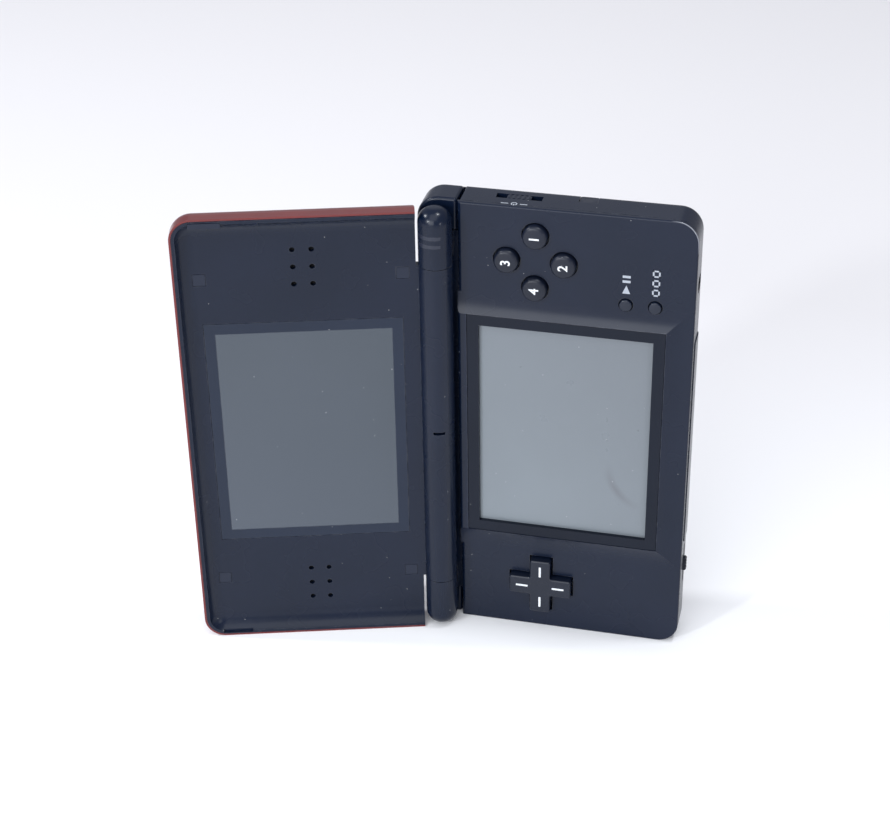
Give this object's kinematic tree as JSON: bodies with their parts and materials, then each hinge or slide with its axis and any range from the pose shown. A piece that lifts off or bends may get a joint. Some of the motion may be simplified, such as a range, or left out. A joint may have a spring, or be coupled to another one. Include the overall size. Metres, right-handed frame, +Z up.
{
  "type": "folding handheld lcd game",
  "caption": "Folding handheld game with a screen in each half, a direction pad, round buttons, sliders and a stowed stylus, standing open on its side.",
  "frame": {"origin": "middle of the base's lower end face, on which the game stands", "axes": "+Z up along the hinge, +X from the hinge towards the base's front wall, -Y the way the base's buttons face"},
  "size_m": [0.1344, 0.0381, 0.1331],
  "materials": {
    "black_case": "fine satin texture",
    "red_lid": "high gloss lacquer",
    "screen_frame": "satin",
    "key_plastic": "smooth satin",
    "touch_film": "slightly frosted film",
    "screen_window": "clear sheet",
    "screen_panel": "unlit reflective panel",
    "circuit_board": "solder mask",
    "contact_rubber": "matt",
    "seal_rubber": "matt",
    "steel": "bright zinc",
    "socket_plastic": "moulded",
    "light_window": "milky translucent",
    "battery_wrap": "plain sleeve",
    "film_cable": "amber film"
  },
  "bodies": {
    "base": {"base_upper_shell": "black_case", "base_lower_shell": "black_case", "lower_screen_bezel": "screen_frame", "touch_panel": "touch_film", "lower_lcd": "screen_panel", "main_board": "circuit_board", "direction_pad_contact_sheet": "contact_rubber", "face_button_contact_sheet": "contact_rubber", "menu_button_contact_sheet": "contact_rubber", "left_shoulder_pin": "steel", "right_shoulder_pin": "steel", "left_shoulder_spring": "steel", "right_shoulder_spring": "steel", "cartridge_connector": "socket_plastic", "headphone_socket": "socket_plastic", "game_card_slot": "socket_plastic", "charging_port": "steel", "battery_pack": "battery_wrap", "battery_cover": "black_case", "battery_cover_screw": "steel", "base_screws": "steel", "rubber_feet": "seal_rubber", "hinge_pin_lower": "steel", "hinge_pin_upper": "steel", "indicator_lights": "light_window"},
    "lid": {"lid_outer_shell": "red_lid", "lid_inner_shell": "black_case", "hinge_bush": "socket_plastic", "hinge_click_unit": "steel", "corner_bumper": "seal_rubber", "screw_cover_pads": "seal_rubber", "lid_screws": "steel", "upper_screen_bezel": "screen_frame", "upper_window": "screen_window", "upper_lcd": "screen_panel", "lower_speaker": "steel", "upper_speaker": "steel", "microphone": "steel", "screen_ribbon_roll": "film_cable"},
    "direction_pad_pivot": {"direction_pad_pivot": "key_plastic"},
    "direction_pad": {"direction_pad": "key_plastic"},
    "start_button": {"start_button": "key_plastic"},
    "select_button": {"select_button": "key_plastic"},
    "left_shoulder_button": {"left_shoulder_button": "black_case"},
    "right_shoulder_button": {"right_shoulder_button": "black_case"},
    "stylus": {"stylus": "black_case"},
    "power_slider": {"power_slider": "key_plastic"},
    "volume_slider": {"volume_slider": "key_plastic"},
    "cartridge_slot_cover": {"cartridge_slot_cover": "black_case"},
    "face_button_up": {"face_button_up": "key_plastic"},
    "face_button_left": {"face_button_left": "key_plastic"},
    "face_button_right": {"face_button_right": "key_plastic"},
    "face_button_down": {"face_button_down": "key_plastic"}
  },
  "joints": [
    {"name": "lid_hinge", "type": "hinge", "parent": "base", "child": "lid", "pos_m": [-0.03095, -0.0095, 0.0665], "axis": [0, 0, 1], "range_deg": [0, 163.5]},
    {"name": "face_button_up_press", "type": "slide", "parent": "base", "child": "face_button_up", "axis": [0, 1, 0], "range_m": [0, 0.0008], "stiffness_N_per_m": 600},
    {"name": "face_button_left_press", "type": "slide", "parent": "base", "child": "face_button_left", "axis": [0, 1, 0], "range_m": [0, 0.0008], "stiffness_N_per_m": 600},
    {"name": "face_button_right_press", "type": "slide", "parent": "base", "child": "face_button_right", "axis": [0, 1, 0], "range_m": [0, 0.0008], "stiffness_N_per_m": 600},
    {"name": "face_button_down_press", "type": "slide", "parent": "base", "child": "face_button_down", "axis": [0, 1, 0], "range_m": [0, 0.0008], "stiffness_N_per_m": 600},
    {"name": "start_button_press", "type": "slide", "parent": "base", "child": "start_button", "axis": [0, 1, 0], "range_m": [0, 0.0005], "stiffness_N_per_m": 600},
    {"name": "select_button_press", "type": "slide", "parent": "base", "child": "select_button", "axis": [0, 1, 0], "range_m": [0, 0.0005], "stiffness_N_per_m": 600},
    {"name": "direction_pad_up_down", "type": "hinge", "parent": "base", "child": "direction_pad_pivot", "pos_m": [-0.00255, -0.00405, 0.0151], "axis": [1, 0, 0], "range_deg": [-3, 3], "stiffness_Nm_per_rad": 0.06},
    {"name": "direction_pad_left_right", "type": "hinge", "parent": "direction_pad_pivot", "child": "direction_pad", "pos_m": [-0.00255, -0.00405, 0.0151], "axis": [0, 0, 1], "range_deg": [-3, 3], "stiffness_Nm_per_rad": 0.06},
    {"name": "left_shoulder_press", "type": "hinge", "parent": "base", "child": "left_shoulder_button", "pos_m": [-0.03355, 0, 0.0226], "axis": [0, -1, 0], "range_deg": [0, 1.3], "stiffness_Nm_per_rad": 0.5},
    {"name": "right_shoulder_press", "type": "hinge", "parent": "base", "child": "right_shoulder_button", "pos_m": [-0.03355, 0, 0.1104], "axis": [0, 1, 0], "range_deg": [0, 1.3], "stiffness_Nm_per_rad": 0.5},
    {"name": "power_slide", "type": "slide", "parent": "base", "child": "power_slider", "axis": [-1, 0, 0], "range_m": [0, 0.0022], "stiffness_N_per_m": 400},
    {"name": "volume_slide", "type": "slide", "parent": "base", "child": "volume_slider", "axis": [0, 0, 1], "range_m": [-0.0042, 0.0042]},
    {"name": "stylus_pull", "type": "slide", "parent": "base", "child": "stylus", "axis": [0, 0, 1], "range_m": [0, 0.092]},
    {"name": "slot_cover_pull", "type": "slide", "parent": "base", "child": "cartridge_slot_cover", "axis": [1, 0, 0], "range_m": [0, 0.026]}
  ]
}
